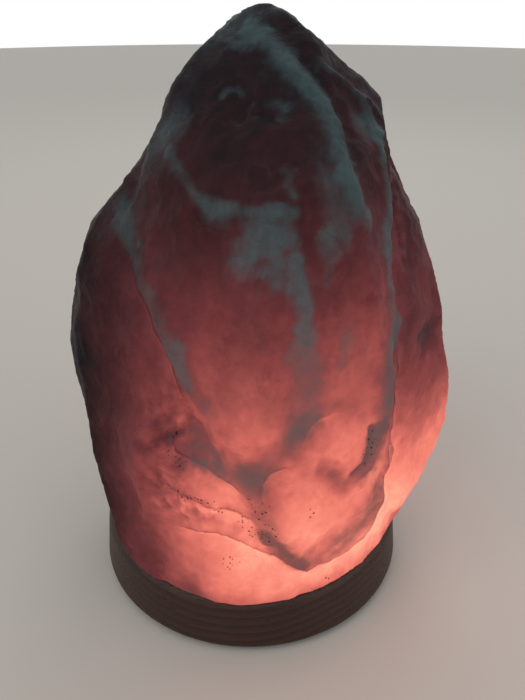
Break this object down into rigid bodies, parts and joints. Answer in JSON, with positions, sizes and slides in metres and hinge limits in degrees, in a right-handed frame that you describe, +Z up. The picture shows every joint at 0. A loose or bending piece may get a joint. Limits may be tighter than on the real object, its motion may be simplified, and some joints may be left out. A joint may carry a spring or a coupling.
{
  "type": "salt crystal lamp",
  "caption": "Table lamp of a rough salt crystal on a turned wooden base, bored from below for a small bulb in a screw lampholder that a spring clip holds.",
  "frame": {"origin": "on the axis of the wooden base, on the surface that its feet stand on, which is the centre of the bottom of the lamp's bounding box to about 1.3 mm", "axes": "+Z up the axis of the base, bulb and bore; -Y towards the viewer in the picture, +X to the right; the groove for the cord runs out along +Y"},
  "size_m": [0.1877, 0.1673, 0.2542],
  "materials": {
    "salt": "rough, waxy, translucent",
    "wood": "dark stained, turned",
    "felt": "felt",
    "plug_plastic": "moulded",
    "screw_steel": "zinc plated",
    "spring_steel": "rolled",
    "black_plastic": "moulded",
    "white_plastic": "moulded",
    "porcelain": "unglazed",
    "brass": "rolled",
    "solder": "solder",
    "bulb_glass": "clear",
    "cap_metal": "rolled",
    "cap_glass": "black glass",
    "wire": "drawn",
    "filament": "coiled"
  },
  "bodies": {
    "lamp_body": {"salt_crystal": "salt", "wooden_base": "wood", "wall_plugs": "plug_plastic", "fixing_screws": "screw_steel", "felt_foot_front_left": "felt", "felt_foot_front_right": "felt", "felt_foot_back_left": "felt", "felt_foot_back_right": "felt"},
    "lampholder": {"clip_bridge": "spring_steel", "cord_nipple": "black_plastic", "lock_nut": "brass", "holder_cap": "white_plastic", "holder_shell": "white_plastic", "holder_core": "porcelain", "screw_shell": "brass", "centre_contact": "brass", "live_terminal": "brass", "neutral_terminal": "brass", "terminal_screws": "screw_steel"},
    "clip_wing_left": {"clip_wing_left": "spring_steel"},
    "clip_wing_right": {"clip_wing_right": "spring_steel"},
    "bulb_carrier": {"tip_contact": "solder"},
    "bulb": {"bulb_glass": "bulb_glass", "bulb_cap": "cap_metal", "cap_insulator": "cap_glass", "glass_stem": "bulb_glass", "lead_wires": "wire", "filament": "filament"}
  },
  "joints": [
    {"name": "holder_slide", "type": "slide", "parent": "lamp_body", "child": "lampholder", "axis": [0, 0, -1], "range_m": [0, 0.095]},
    {"name": "clip_flex_left", "type": "hinge", "parent": "lampholder", "child": "clip_wing_left", "pos_m": [-0.01605, 0, 0.0144], "axis": [0, 1, 0], "range_deg": [0, 8], "stiffness_Nm_per_rad": 0.3},
    {"name": "clip_flex_right", "type": "hinge", "parent": "lampholder", "child": "clip_wing_right", "pos_m": [0.01605, 0, 0.0144], "axis": [0, -1, 0], "range_deg": [0, 8], "stiffness_Nm_per_rad": 0.3},
    {"name": "bulb_rise", "type": "slide", "parent": "lampholder", "child": "bulb_carrier", "axis": [0, 0, 1], "range_m": [0, 0.01421]},
    {"name": "bulb_turn", "type": "hinge", "parent": "bulb_carrier", "child": "bulb", "pos_m": [0, 0, 0.0336], "axis": [0, 0, 1], "range_deg": [0, 1800]}
  ],
  "couplings": [
    {"joint": "bulb_rise", "follows": "bulb_turn", "m_per_rad": 0.00044913}
  ]
}
